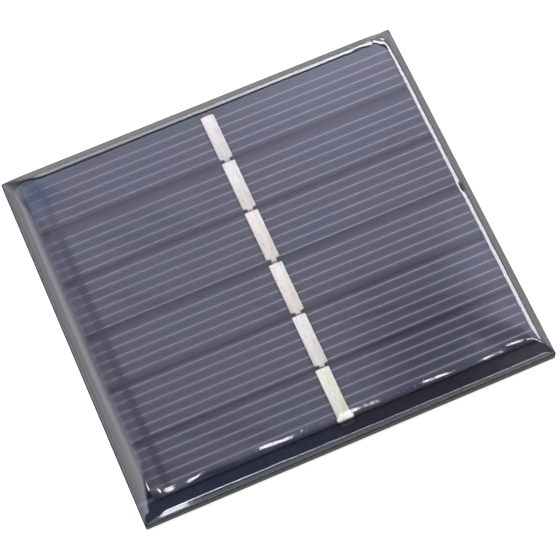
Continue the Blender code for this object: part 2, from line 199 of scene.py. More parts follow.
class Nodes:
    """A short way to write a shader tree. Sockets are passed as they are, and numbers become defaults."""

    def __init__(self, owner):
        self.owner = owner
        self.tree = owner.node_tree
        self.tree.nodes.clear()

    def add(self, kind, inputs=None, **settings):
        made = self.tree.nodes.new(kind)
        for key, value in settings.items():
            setattr(made, key, value)
        for key, value in (inputs or {}).items():
            self.feed(made.inputs[key], value)
        return made

    def feed(self, socket, value):
        if isinstance(value, bpy.types.NodeSocket):
            self.tree.links.new(value, socket)
        elif value is not None:
            if socket.type == "RGBA" and len(value) == 3:
                value = (*value, 1.0)
            socket.default_value = value

    def math(self, operation, *values):
        return self.add("ShaderNodeMath", dict(enumerate(values)), operation=operation).outputs[0]

    def times(self, *factors):
        return functools.reduce(lambda a, b: self.math("MULTIPLY", a, b), factors)

    def plus(self, *terms):
        return functools.reduce(lambda a, b: self.math("ADD", a, b), terms)

    def minus(self, a, b):
        return self.math("SUBTRACT", a, b)

    def apart(self, a, b):
        """How far one value is from another."""
        return self.math("ABSOLUTE", self.minus(a, b))

    def place(self, scale=1.0, offset=(0.0, 0.0, 0.0)):
        """Object coordinates in millimetres, times a scale that may differ by axis."""
        coordinate = self.add("ShaderNodeTexCoord").outputs["Object"]
        scales = scale if isinstance(scale, tuple) else (scale,) * 3
        inputs = {"Vector": coordinate, "Scale": [s / MM for s in scales], "Location": offset}
        return self.add("ShaderNodeMapping", inputs).outputs["Vector"]

    def noise(self, scale, detail=3.0, roughness=0.55, offset=(0.0, 0.0, 0.0)):
        inputs = {"Vector": self.place(scale, offset), "Scale": 1.0, "Detail": detail, "Roughness": roughness}
        return self.add("ShaderNodeTexNoise", inputs).outputs["Fac"]

    def span(self, value, low, high, out_low=0.0, out_high=1.0, smooth=True):
        """value from low..high to out_low..out_high, and level beyond."""
        inputs = {"Value": value, "From Min": low, "From Max": high, "To Min": out_low, "To Max": out_high}
        kind = "SMOOTHSTEP" if smooth else "LINEAR"
        made = self.add("ShaderNodeMapRange", inputs, clamp=True, interpolation_type=kind)
        return made.outputs["Result"]

    def fall(self, value, low, high):
        """1 where value is low or less, falling to 0 at high."""
        return self.span(value, low, high, 1.0, 0.0)

    def mix(self, factor, a, b, blend="MIX"):
        """Two colours mixed. The colour sockets of a mix node are 6, 7 and 2."""
        inputs = {0: factor, 6: a, 7: b}
        made = self.add("ShaderNodeMix", inputs, data_type="RGBA", blend_type=blend, clamp_factor=True)
        return made.outputs[2]

    def bump(self, height, distance, strength=1.0):
        inputs = {"Height": height, "Distance": distance * MM, "Strength": strength}
        return self.add("ShaderNodeBump", inputs).outputs["Normal"]

    def near(self, value, centre, half, soft):
        """1 within half of centre, falling to 0 over soft."""
        return self.fall(self.apart(value, centre), half, half + soft)

    def axis(self, index):
        """One object coordinate in millimetres."""
        return self.add("ShaderNodeSeparateXYZ", {"Vector": self.place()}).outputs[index]

    def shader(self, **inputs):
        """A Principled shader. An input's spaces are written as underscores."""
        spaced = {key.replace("_", " "): value for key, value in inputs.items()}
        return self.add("ShaderNodeBsdfPrincipled", spaced).outputs[0]

    def blend(self, factor, first, second):
        """One shader where the factor is 0, and another where it is 1."""
        return self.add("ShaderNodeMixShader", {0: factor, 1: first, 2: second}).outputs[0]

    def close(self, surface, output="ShaderNodeOutputMaterial"):
        """Joins a shader to the tree's output, and returns the material or world."""
        self.add(output, {"Surface": surface})
        return self.owner

    def principled(self, **inputs):
        """Closes the tree with a Principled shader, and returns its material."""
        return self.close(self.shader(**inputs))


def material(name):
    """The empty tree of a new material."""
    made = bpy.data.materials.new(name)
    made.use_nodes = True
    return Nodes(made)


# --- Materials ---


def clear_resin():
    """Clear cast epoxy with a faint orange peel. Rays from lamps pass straight through."""
    tree = material("clear_epoxy")
    peel = tree.noise(0.35, 2.0)
    fine = tree.noise(2.5, 2.0)
    height = tree.plus(peel, tree.times(fine, 0.03))
    resin = tree.shader(
        Base_Color=(0.97, 0.975, 1.0),
        Roughness=0.03,
        IOR=1.5,
        Transmission_Weight=1.0,
        Coat_Weight=1.0,
        Coat_Roughness=0.03,
        Coat_IOR=1.5,
        Normal=tree.bump(height, 0.02, 0.35),
    )
    lamp_side = tree.add("ShaderNodeBsdfTransparent", {"Color": (0.95, 0.96, 0.98)})
    shadow_ray = tree.add("ShaderNodeLightPath").outputs["Is Shadow Ray"]
    return tree.close(tree.blend(shadow_ray, resin, lamp_side.outputs[0]))


def silicon(number, ribbon_x, ribbon_half):
    """Textured, anti-reflection coated silicon: dark navy to violet, with saw marks, flux stains, and painted
    light and shade by the fingers, the ribbon and the last strip's near edge.
    """
    tree = material(f"silicon_{number}")
    low, high = box_mm(f"cell_{number}")
    rows = finger_rows(number)[0]
    shift = (7.3 * number, 3.1 * number, 0.0)
    x, y = tree.axis(0), tree.axis(1)
    tone = tree.noise((0.07, 0.16, 0.1), 3.0, 0.6, shift)
    base = tree.mix(tree.span(tone, 0.36, 0.64), (0.020, 0.024, 0.047), (0.029, 0.024, 0.044))
    blotch = tree.noise((0.05, 0.3, 0.1), 2.0, 0.5, shift)
    base = tree.mix(tree.span(blotch, 0.55, 0.75, 0.0, 0.5), base, (0.017, 0.030, 0.050))
    grain = tree.noise((2.5, 14.0, 4.0), 2.0)
    base = tree.mix(tree.span(grain, 0.3, 0.7, 0.0, 0.35), base, (0.034, 0.034, 0.053))
    # The coating is thin along the sawn edges and turns darker there.
    from_edge = tree.math("MINIMUM", tree.minus(y, low[1]), tree.minus(high[1], y))
    uneven = tree.noise((0.25, 0.8, 0.5), 2.0, 0.5, shift)
    uneven = tree.times(tree.minus(uneven, 0.5), 0.8)
    edge = tree.fall(tree.plus(from_edge, uneven), 0.1, 1.05)
    base = tree.mix(tree.times(edge, 0.8), base, (0.005, 0.004, 0.014))
    # Light that the fingers scatter in the resin lifts the silicon beside them.
    pitch = (rows[-1] - rows[0]) / (len(rows) - 1)
    row_place = tree.math("DIVIDE", tree.minus(y, rows[0]), pitch)
    last = len(rows) - 1
    nearest = tree.span(tree.math("ROUND", row_place), 0.0, last, 0.0, last, smooth=False)
    from_row = tree.times(tree.apart(row_place, nearest), pitch)
    halo = tree.fall(from_row, 0.05, 0.52)
    base = tree.mix(tree.times(halo, 0.7), base, (0.080, 0.077, 0.104))
    # A row of dark spots where the paste ran out near the left end, and a bluer corner on the first strip.
    column = tree.apart(x, low[0] + SPOTS_PLACE)
    spots = tree.times(
        tree.fall(column, 0.3, 1.1),
        tree.span(tree.noise((1.1, 1.1, 0.5), 2.0, 0.5, shift), 0.38, 0.6, 0.75, 1.0),
    )
    base = tree.mix(tree.times(spots, 0.97), base, (0.002, 0.003, 0.010))
    if number == CELL_COUNT:
        # Painted reflection: under the near rim, this strip's near edge fades to the navy the rim shows
        # there. Painted light: its sawn near side is lightened against the shade on it.
        base = tree.mix(tree.span(y, low[1] + 0.1, low[1] + 0.9, 0.9, 0.0), base, (0.030, 0.033, 0.052))
        sawn_side_painted_light = tree.fall(tree.axis(2), high[2] - 0.04, high[2] - 0.01)
        sawn_side_painted_light = tree.times(sawn_side_painted_light, tree.fall(y, low[1] + 0.3, low[1] + 0.4))
        base = tree.mix(sawn_side_painted_light, base, (0.085, 0.092, 0.140))
    if number == 1:
        corner = tree.fall(x, low[0] + 1.5, low[0] + 7.0)
        corner = tree.times(corner, tree.span(y, low[1] + 2.5, low[1] + 6.5))
        base = tree.mix(tree.times(corner, 0.8), base, (0.018, 0.040, 0.120))
        teal = tree.times(tree.span(y, high[1] - 4.0, high[1] - 0.8), tree.span(blotch, 0.4, 0.6))
        base = tree.mix(tree.times(teal, 0.6), base, (0.020, 0.038, 0.046))
    from_ribbon = tree.apart(x, ribbon_x)
    stain = tree.times(
        tree.fall(from_ribbon, 1.0, 3.6),
        tree.span(tree.noise(0.35, 3.0, 0.6, shift), 0.42, 0.62),
    )
    base = tree.mix(tree.times(stain, 0.75), base, (0.030, 0.036, 0.030))
    # Painted shade along both sides of the ribbon.
    ribbon_side_painted_shade = tree.fall(from_ribbon, ribbon_half + 0.1, ribbon_half + 0.5)
    base = tree.mix(tree.times(ribbon_side_painted_shade, 0.85), base, (0.006, 0.006, 0.008))
    roughness = tree.span(tree.noise(1.2, 3.0), 0.3, 0.7, 0.36, 0.50)
    pyramid = tree.noise(22.0, 1.0)
    return tree.principled(
        Base_Color=base,
        Roughness=roughness,
        Specular_IOR_Level=0.08,
        Normal=tree.bump(pyramid, 0.01, 0.5),
    )


def silver_paste(left_end):
    """Fired silver paste: pale grey, slightly porous, thinner towards the panel's left end."""
    tree = material("fired_silver")
    mottle = tree.noise((1.5, 9.0, 3.0), 4.0, 0.65)
    pale = tree.mix(tree.span(mottle, 0.3, 0.7), (0.125, 0.123, 0.148), (0.205, 0.200, 0.230))
    # Brighter towards the right.
    pale = tree.mix(tree.span(tree.axis(0), -18.0, 22.0), pale, (1.35, 1.34, 1.32), "MULTIPLY")
    from_left = tree.minus(tree.axis(0), left_end)
    worn = tree.span(from_left, 0.0, 4.5, 0.85, 0.0)
    worn = tree.times(worn, tree.span(tree.noise((0.4, 2.0, 1.0), 2.0), 0.3, 0.6, 0.5, 1.0))
    pale = tree.mix(worn, pale, (0.055, 0.057, 0.085))
    column = tree.span(tree.apart(from_left, SPOTS_PLACE), 0.1, 0.7, 0.8, 0.0)
    pale = tree.mix(column, pale, (0.012, 0.013, 0.024))
    roughness = tree.span(mottle, 0.3, 0.7, 0.6, 0.42)
    return tree.principled(
        Base_Color=pale,
        Specular_IOR_Level=0.2,
        Roughness=roughness,
        Normal=tree.bump(tree.noise(30.0, 2.0), 0.006, 0.6),
    )


def tinned_ribbon(number, centre_x, half_width, cell_near):
    """Hand-soldered tinned ribbon: bright streaks along it, painted shade on its right side and flecks of
    flux.
    """
    tree = material(f"tinned_ribbon_{number}")
    shift = (0.0, 5.7 * number, 0.0)
    across = tree.math("DIVIDE", tree.minus(tree.axis(0), centre_x), half_width)
    wander = tree.noise((0.2, 0.5, 0.2), 2.0, 0.5, shift)
    wander = tree.times(tree.minus(wander, 0.5), 1.6)
    # Painted shade: the ribbon's right side is darker, as if tilted away from the light, and it is also more
    # olive.
    right_side_painted_shade = tree.span(tree.plus(across, wander), -0.15, 0.4)
    base = tree.mix(right_side_painted_shade, (0.715, 0.680, 0.650), (0.640, 0.640, 0.560))
    streak = tree.noise((5.5, 0.7, 2.0), 4.0, 0.6, shift)
    base = tree.mix(tree.span(streak, 0.54, 0.68, 0.0, 0.8), base, (0.43, 0.43, 0.38))
    bright = tree.noise((3.0, 0.4, 2.0), 2.0, 0.5, (4.0, 2.3 * number, 0.0))
    base = tree.mix(tree.span(bright, 0.5, 0.66, 0.0, 0.8), base, (0.76, 0.725, 0.685))
    flux = tree.noise(2.4, 3.0, 0.6, shift)
    base = tree.mix(tree.span(flux, 0.66, 0.74, 0.0, 0.7), base, (0.42, 0.385, 0.28))
    # Each ribbon is darker towards its near end, two are slightly pink and the last is yellowish.
    along = tree.span(tree.axis(1), cell_near + 0.3, cell_near + 8.5)
    base = tree.mix(1.0, base, tree.mix(along, (0.84, 0.83, 0.78), (1.08, 1.08, 1.07)), "MULTIPLY")
    if number in (3, 4):
        pink = tree.span(tree.noise(0.3, 2.0, 0.5, shift), 0.35, 0.6, 0.2, 1.0)
        base = tree.mix(pink, base, (1.04, 0.975, 0.93), "MULTIPLY")
    if number == CELL_COUNT:
        base = tree.mix(1.0, base, (1.01, 1.03, 0.92), "MULTIPLY")
        # Painted shade: past the cell's edge, where the ribbon turns down, it is painted near-black.
        turned_end_painted_shade = tree.fall(tree.axis(1), cell_near - 0.25, cell_near - 0.05)
        base = tree.mix(turned_end_painted_shade, base, (0.010, 0.010, 0.016))
    height = tree.plus(streak, tree.times(tree.noise(9.0, 2.0), 0.4))
    return tree.principled(
        Base_Color=base,
        Metallic=0.1,
        Roughness=tree.span(streak, 0.3, 0.7, 0.42, 0.62),
        Normal=tree.bump(height, 0.05, 0.6),
    )


def solder(name="solder", tint=(0.90, 0.89, 0.83), dull=(0.72, 0.72, 0.66), metallic=0.35):
    """Solder: satin, with cold grainy patches."""
    tree = material(name)
    patch = tree.noise(1.1, 4.0, 0.6)
    base = tree.mix(tree.span(patch, 0.4, 0.65), tint, dull)
    grain = tree.noise(8.0, 3.0)
    return tree.principled(
        Base_Color=base,
        Metallic=metallic,
        Roughness=tree.span(grain, 0.3, 0.7, 0.22, 0.45),
        Normal=tree.bump(tree.plus(patch, tree.times(grain, 0.5)), 0.05, 0.5),
    )


def solder_mask(name="black_solder_mask", specular=0.5, potted=False):
    """Black semi-gloss solder mask with a fine leathery texture.

    Under the resin, a painted reflection makes it navy along the near rim and greyer towards the right, and
    painted light makes it paler below the last strip's edge and beyond the cells.
    """
    tree = material(name)
    weave = tree.noise((1.4, 1.4, 1.0), 4.0, 0.6)
    base = tree.mix(tree.span(weave, 0.35, 0.7), (0.0055, 0.0065, 0.0125), (0.009, 0.0095, 0.017))
    if potted:
        x, y = tree.axis(0), tree.axis(1)
        # Painted reflection: navy along the near rim, less blue and then greyer towards the right.
        navy = tree.mix(tree.span(x, -22.0, 18.0), (0.023, 0.029, 0.052), (0.020, 0.020, 0.030))
        navy = tree.mix(tree.span(x, 17.0, 29.0), navy, (0.046, 0.045, 0.056))
        near = box_mm(f"cell_{CELL_COUNT}")[0][1]
        right, far = box_mm("cell_1")[1][:2]
        # Painted light: a paler stretch below the last strip's edge lifts the shade in the slot there, so
        # that it does not look black.
        slot_painted_light = tree.fall(y, near + 0.4, near + 0.8)
        beneath = tree.mix(slot_painted_light, (0.010, 0.009, 0.022), (0.080, 0.086, 0.125))
        rim = tree.fall(y, near - 0.03, near + 0.03)
        beneath = tree.mix(rim, beneath, navy)
        # Painted light: paler beyond the cells' far and right ends, under the steep rim.
        outside_painted_light = tree.math("MAXIMUM", tree.span(y, far, far + 0.4), tree.span(x, right, right + 0.4))
        outside_painted_light = tree.times(outside_painted_light, tree.fall(rim, 0.0, 1.0))
        beneath = tree.mix(outside_painted_light, beneath, (0.023, 0.022, 0.034))
        base = tree.mix(tree.span(weave, 0.3, 0.7, 0.25, 0.0), beneath, (0.006, 0.006, 0.012))
    return tree.principled(
        Base_Color=base,
        Roughness=tree.span(tree.noise(0.4, 3.0), 0.3, 0.7, 0.30, 0.42),
        Specular_IOR_Level=specular,
        Normal=tree.bump(tree.plus(weave, tree.times(tree.noise(11.0, 2.0), 0.5)), 0.02, 0.4),
    )


def laminate():
    """The board's cut edge: dark glass-epoxy laminate with its plies of glass showing as thin lines."""
    tree = material("glass_epoxy_laminate")
    bands = {"Vector": tree.place((0.02, 0.02, 1.0)), "Scale": 1.35, "Distortion": 0.7, "Detail": 2.0}
    ply = tree.add("ShaderNodeTexWave", bands, wave_type="BANDS", bands_direction="Z").outputs["Fac"]
    strands = tree.noise((6.0, 6.0, 18.0), 3.0, 0.6)
    base = tree.mix(tree.span(strands, 0.3, 0.7), (0.016, 0.016, 0.016), (0.035, 0.034, 0.033))
    base = tree.mix(tree.times(ply, 0.55), base, (0.055, 0.054, 0.051))
    height = tree.plus(strands, tree.times(ply, 0.6))
    return tree.principled(
        Base_Color=base,
        Roughness=tree.span(strands, 0.3, 0.7, 0.72, 0.5),
        Specular_IOR_Level=0.25,
        Normal=tree.bump(height, 0.05, 0.7),
    )


def screen_ink():
    """White screen-printed ink, a little uneven."""
    tree = material("white_ink")
    mottle = tree.noise(3.0, 4.0, 0.7)
    base = tree.mix(tree.span(mottle, 0.3, 0.7), (0.62, 0.62, 0.6), (0.83, 0.83, 0.81))
    return tree.principled(
        Base_Color=base,
        Roughness=tree.span(mottle, 0.3, 0.7, 0.65, 0.5),
        Normal=tree.bump(tree.noise(12.0, 2.0), 0.02, 0.5),
    )


def copper():
    """Bare copper with a dull tarnish."""
    tree = material("tarnished_copper")
    patch = tree.noise(1.4, 4.0, 0.6)
    base = tree.mix(tree.span(patch, 0.35, 0.65), (0.62, 0.32, 0.17), (0.33, 0.18, 0.11))
    return tree.principled(
        Base_Color=base,
        Metallic=1.0,
        Roughness=tree.span(patch, 0.3, 0.7, 0.3, 0.5),
        Normal=tree.bump(tree.noise((12.0, 1.5, 4.0), 3.0), 0.02, 0.4),
    )


def aluminium_paste():
    """The cell's fired aluminium back: matt, speckled grey."""
    tree = material("aluminium_paste")
    speck = tree.noise(6.0, 4.0, 0.7)
    base = tree.mix(tree.span(speck, 0.35, 0.65), (0.30, 0.30, 0.31), (0.46, 0.46, 0.47))
    return tree.principled(
        Base_Color=base,
        Metallic=0.6,
        Roughness=tree.span(speck, 0.3, 0.7, 0.75, 0.6),
        Normal=tree.bump(speck, 0.03, 0.5),
    )


def black_tape():
    """Double-sided acrylic tape on a black carrier."""
    tree = material("black_adhesive_tape")
    end = box_mm("adhesive_strip_left")[0][1]
    crepe = tree.noise((0.8, 6.0, 2.0), 3.0)
    base = tree.mix(tree.span(crepe, 0.3, 0.7), (0.009, 0.008, 0.018), (0.013, 0.012, 0.024))
    # Painted light: the tape's cut end is lightened against the shade on it.
    cut_end_painted_light = tree.fall(tree.axis(1), end + 0.02, end + 0.06)
    base = tree.mix(cut_end_painted_light, base, (0.070, 0.078, 0.120))
    return tree.principled(
        Base_Color=base,
        Specular_IOR_Level=0.05,
        Roughness=tree.span(crepe, 0.3, 0.7, 0.55, 0.4),
        Normal=tree.bump(crepe, 0.03, 0.5),
    )


# --- Mesh helpers ---


def add_mesh(name, shape):
    """An object from a shape: its points in millimetres, and its faces."""
    points, faces = shape
    mesh = bpy.data.meshes.new(name)
    mesh.from_pydata([tuple(c * MM for c in p) for p in points], [], faces)
    made = bpy.data.objects.new(name, mesh)
    bpy.context.scene.collection.objects.link(made)
    return made


def add_piece(name, shape, look, replaces=(), sharp=40.0):
    """A piece of the panel. It rides on the panel's body, and stands for the CAD nodes it replaces."""
    made = add_mesh(name, shape)
    mesh = made.data
    edited = bmesh.new()
    edited.from_mesh(mesh)
    bmesh.ops.remove_doubles(edited, verts=edited.verts, dist=0.0002 * MM)
    bmesh.ops.recalc_face_normals(edited, faces=edited.faces)
    edited.to_mesh(mesh)
    edited.free()
    mesh.shade_smooth()
    mesh.set_sharp_from_angle(angle=math.radians(sharp))
    mesh.materials.append(look)
    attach(made, BODY)
    if replaces:
        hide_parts(*replaces)
    return made


def stack(sections):
    """Joins closed outlines of equally many points, from first to last, and closes both ends."""
    points = [p for section in sections for p in section]
    count = len(sections[0])
    faces = []
    for level in range(len(sections) - 1):
        start = level * count
        for i in range(count):
            j = (i + 1) % count
            faces.append((start + i, start + j, start + count + j, start + count + i))
    faces.append(tuple(range(count))[::-1])
    faces.append(tuple(range(len(points) - count, len(points))))
    return points, faces


def together(shapes):
    """Several closed shapes as one."""
    points, faces = [], []
    for more, more_faces in shapes:
        faces += [tuple(i + len(points) for i in face) for face in more_faces]
        points += more
    return points, faces


def rounded_outline(centre, half, radius, z, steps=8):
    """A rectangle with round corners at one level, as points that run anticlockwise."""
    points = []
    for quarter, (sx, sy) in enumerate(((1, 1), (-1, 1), (-1, -1), (1, -1))):
        for step in range(steps + 1):
            angle = math.pi / 2 * (quarter + step / steps)
            x = centre[0] + sx * (half[0] - radius) + radius * math.cos(angle)
            y = centre[1] + sy * (half[1] - radius) + radius * math.sin(angle)
            points.append((x, y, z))
    return points


def rounded_plate(centre, half, radius, bottom, top, edge=0.0, steps=8):
    """A flat piece with round corners, and edges eased by edge top and bottom."""
    tight = max(radius - edge, 0.02)
    shoulder = 0.3 * edge
    levels = [(edge, bottom), (shoulder, bottom + shoulder), (0.0, bottom + edge)]
    levels += [(0.0, top - edge), (shoulder, top - shoulder), (edge, top)]
    if edge == 0.0:
        levels = [(0.0, bottom), (0.0, top)]
    sections = []
    for inset, z in levels:
        size = [h - inset for h in half[:2]]
        sections.append(rounded_outline(centre, size, tight if inset else radius, z, steps))
    return stack(sections)


# --- Resin ---


def rim_share(distance):
    """How much of its full height the resin has near the left and near edges, at a distance in."""
    steep = 1 - math.exp(-distance / RIM_STEEP)
    long = 1 - math.exp(-distance / RIM_LONG)
    return RIM_STEEP_SHARE * steep + (1 - RIM_STEEP_SHARE) * long


def knee_share(distance):
    """The same near the far and right edges: a steep foot, an even slope and a knee at the flat top."""
    short = KNEE_WALL_SOFT * softplus(KNEE_WALL_FOOT - distance, KNEE_WALL_SOFT)
    steep = KNEE_WALL * (1 - short / KNEE_WALL_FOOT)
    ramp = softplus(KNEE_PLACE, KNEE_SOFT) - softplus(KNEE_PLACE - distance, KNEE_SOFT)
    crown = KNEE_CROWN * (1 - math.exp(-distance / KNEE_CROWN_REACH))
    return steep + KNEE_SLOPE * KNEE_SOFT * ramp + crown


def corner_radius(distance, quarter):
    """The radius of one corner of a contour, anticlockwise from the far-right one.

    The far-right corner (0) opens fast, then runs parallel. The near-right one (3) stays tight.
    """
    growth = CONTOUR_GROWTH * distance
    if quarter == 0:
        parallel_end = KNEE_PLACE + PARALLEL_PAST_KNEE
        opening = min(distance, KNEE_WALL_FOOT)
        parallel = min(max(distance - KNEE_WALL_FOOT, 0.0), parallel_end - KNEE_WALL_FOOT)
        beyond = max(distance - parallel_end, 0.0)
        growth = KNEE_OPENING * opening - parallel + CONTOUR_GROWTH * beyond
    if quarter == 3:
        growth = NEAR_RIGHT_GROWTH * distance
    return min(CONTOUR_RADIUS + growth, CONTOUR_WIDEST)


def dome_contour(half, distance):
    """The resin's outline at a distance in, with its corners rounding off as it goes."""
    hx, hy = half[0] - distance, half[1] - distance
    points = []
    corners = ((1, 1), (-1, 1), (-1, -1), (1, -1))

    def on_corner(quarter, angle):
        sx, sy = corners[quarter]
        radius = corner_radius(distance, quarter)
        x = sx * (hx - radius) + radius * math.cos(angle)
        y = sy * (hy - radius) + radius * math.sin(angle)
        return x, y

    for quarter in range(4):
        for step in range(CORNER_STEPS + 1):
            points.append(on_corner(quarter, math.pi / 2 * (quarter + step / CORNER_STEPS)))
        end = math.pi / 2 * (quarter + 1)
        x0, y0 = on_corner(quarter, end)
        x1, y1 = on_corner((quarter + 1) % 4, end)
        for step in range(1, SIDE_STEPS):
            t = step / SIDE_STEPS
            points.append((x0 + (x1 - x0) * t, y0 + (y1 - y0) * t))
    return points


def rim_stretch(x, y):
    """The rim is a little wider in some places than in others, as poured resin is."""
    slow = bumps(x * 0.06, y * 0.06, 1.7)
    quick = bumps(x * 0.35, y * 0.35, 4.2)
    # Ripples before the far-right corner, and a far rim that is wider and calmer.
    from_ripple = (x - RIPPLE_PLACE[0]) ** 2 + (y - RIPPLE_PLACE[1]) ** 2
    ripple = math.exp(-from_ripple / RIPPLE_REACH**2) * RIPPLE * math.sin(x * 4.4 + 0.8)
    far = 0.08 * clamped((y - 20.0) / 8.0)
    calm = 0.4 if y > 27.0 else 1.0
    return 1.0 + 0.08 * slow + 0.035 * quick * calm + ripple + far


def far_right_share(x, y, half):
    """0 along the left and near edges, 1 along the far and right ones."""
    side = x / half[0] + y / half[1]
    return eased((side + 0.1) / 0.2)


def resin_lip(x, y, half):
    """How high the resin stands upright at its outline. It sinks at the far-right corner."""
    from_corner = (half[0] - x) ** 2 + (half[1] - y) ** 2
    sunk = math.exp(-from_corner / 6.0)
    gain = RESIN_LIP_GAIN * far_right_share(x, y, half)
    return RESIN_LIP + gain * (1 - sunk) - RESIN_LIP_LOW * sunk


def resin_top(x, y, distance, half, foot, top):
    """The resin's level over the board."""
    deep = distance / rim_stretch(x, y)
    far_right = far_right_share(x, y, half)
    lip = resin_lip(x, y, half)
    share = (1 - far_right) * rim_share(deep) / rim_share(RIM_DEEP)
    share += far_right * knee_share(deep) / knee_share(RIM_DEEP)
    flat = top - TOP_MARGIN
    level = foot + lip + (flat - foot - lip) * min(share, 1.0)
    level += 0.006 * bumps(x * 0.11, y * 0.11, 9.0) * min(distance / 3, 1.0)
    across, along = (x - half[0] + DENT_FROM_RIGHT) ** 2, (y - DENT_Y) ** 2
    level -= DENT_DEPTH * math.exp(-(across / DENT_SPREAD[0] + along / DENT_SPREAD[1]))
    level += (flat - level) * eased((distance - LEVEL_FROM) / (RIM_DEEP - LEVEL_FROM))
    return min(level, top)


def add_resin():
    """The poured resin, solid and in contact with the board, the cells and the ribbons."""
    low, high = box_mm("epoxy_dome")
    half, foot = high[:2], low[2]
    floor = box_mm("back_board")[1][2] - RESIN_SINK
    outline = dome_contour(half, 0.0)
    lip_edge = dome_contour(half, LIP_EASE)
    sections = [
        [(x, y, floor) for x, y in outline],
        [(x, y, foot + resin_lip(x, y, half) - RESIN_LIP * 0.25) for x, y in outline],
        [(x, y, foot + resin_lip(x, y, half)) for x, y in lip_edge],
    ]
    for ring in range(1, RINGS + 1):
        distance = LIP_EASE + (RIM_DEEP - LIP_EASE) * (ring / RINGS) ** 2.0
        contour = dome_contour(half, distance)
        sections.append([(x, y, resin_top(x, y, distance, half, foot, high[2])) for x, y in contour])
    add_piece("resin_dome", stack(sections), clear_resin(), ["epoxy_dome"], sharp=50.0)


# --- Board ---


def add_board(looks):
    """Laminate core and solder mask on both faces, with an opening at the back for each pad."""
    *half, top = box_mm("back_board")[1]
    core_top = top - MASK_THICKNESS
    profile = ((0.05, CORE_BOTTOM), (0.0, CORE_BOTTOM + 0.07), (0.0, core_top - 0.03), (0.02, core_top))
    sections = []
    for inset, z in profile:
        sections.append(rounded_outline((0, 0), [h - inset for h in half], BOARD_CORNER, z, 6))
    core = add_piece("board_core", stack(sections), looks["laminate"], ["back_board"])
    cutters = []
    for pole in POLES:
        low, high = box_mm(f"{pole}_terminal_pad")
        size = [h + PAD_CLEARANCE for h in half_size(low, high)]
        corner = PAD_CORNER + PAD_CLEARANCE
        cutters.append(rounded_plate(halfway(low, high), size, corner, -0.5, high[2] + 0.02))
    cut_away(core, cutters)
    size = [h - 0.03 for h in half]
    front = rounded_plate((0, 0), size, BOARD_CORNER, core_top, top, 0.008)
    add_piece("solder_mask_front", front, looks["potted_mask"])
    size = [h - 0.09 for h in half]
    back = rounded_plate((0, 0), size, BOARD_CORNER, 0.012, CORE_BOTTOM, 0.005)
    cut_away(add_piece("solder_mask_back", back, looks["mask"]), cutters)


def cut_away(target, cutters):
    """Takes closed shapes out of a piece for good."""
    for shape in cutters:
        cutter = add_mesh("cutter", shape)
        modifier = target.modifiers.new("cut", "BOOLEAN")
        modifier.operation = "DIFFERENCE"
        modifier.solver = "EXACT"
        modifier.object = cutter
        bpy.context.view_layer.update()
        graph = bpy.context.evaluated_depsgraph_get()
        result = bpy.data.meshes.new_from_object(target.evaluated_get(graph))
        target.modifiers.clear()
        target.data = result
        bpy.data.objects.remove(cutter, do_unlink=True)


# --- Cells and grids ---


def add_cell(number, look):
    """A sawn silicon strip: eased edges with small chips along them."""
    low, high = box_mm(f"cell_{number}")
    rand = random.Random(40 + number)
    centre = halfway(low, high)
    outline = []
    corners = [(low[0], low[1]), (high[0], low[1]), (high[0], high[1]), (low[0], high[1])]
    inward = [(0, 1), (-1, 0), (0, -1), (1, 0)]
    for side in range(4):
        a, b = corners[side], corners[(side + 1) % 4]
        steps = CELL_EDGE_STEPS[side % 2]
        for step in range(steps):
            t = step / steps
            depth = abs(rand.gauss(0.0, 0.008))
            if rand.random() < CHIP_SHARE:
                depth += rand.uniform(0.03, 0.10)
            if step == 0:
                depth = CELL_CORNER_CUT
            x = a[0] + (b[0] - a[0]) * t + inward[side][0] * depth
            y = a[1] + (b[1] - a[1]) * t + inward[side][1] * depth
            if step == 0:
                x -= math.copysign(CELL_CORNER_CUT, x - centre[0])
            outline.append((x, y))
    sections = []
    for inset, z in ((0.02, low[2]), (0.0, low[2] + 0.02), (0.0, high[2] - 0.025), (0.025, high[2])):
        level = []
        for x, y in outline:
            dx, dy = x - centre[0], y - centre[1]
            level.append((x - math.copysign(inset, dx), y - math.copysign(inset, dy), z))
        sections.append(level)
    add_piece(f"silicon_strip_{number}", stack(sections), look, [f"cell_{number}"])


def finger_rows(number):
    """Where the CAD grid's fingers lie: their places along Y and their tips along X."""
    low, high = box_mm(f"silver_grid_{number}")
    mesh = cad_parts[f"silver_grid_{number}"].data
    levels = sorted({round(v.co.y / MM, 3) for v in mesh.vertices if v.co.x / MM > high[0] - 0.05})
    rows = [(a + b) / 2 for a, b in zip(levels[::2], levels[1::2])]
    width = levels[1] - levels[0]
    next_row = 2 * rows[0] - rows[1]
    if next_row - width / 2 > box_mm(f"cell_{number}")[0][1]:
        rows.insert(0, next_row)
    return rows, width, low, high


def ridge(path, bottom):
    """A low printed ridge along a path of (x, y, half width, height), as seen from above."""
    profile = ((-1.0, 0.0), (-0.72, 0.62), (0.0, 1.0), (0.72, 0.62), (1.0, 0.0))
    along_x = abs(path[-1][0] - path[0][0]) > abs(path[-1][1] - path[0][1])
    sections = []
    for x, y, half, height in path:
        section = []
        for u, v in profile:
            place = (x, y + u * half) if along_x else (x + u * half, y)
            section.append((*place, bottom + v * height))
        sections.append(section)
    return stack(sections)


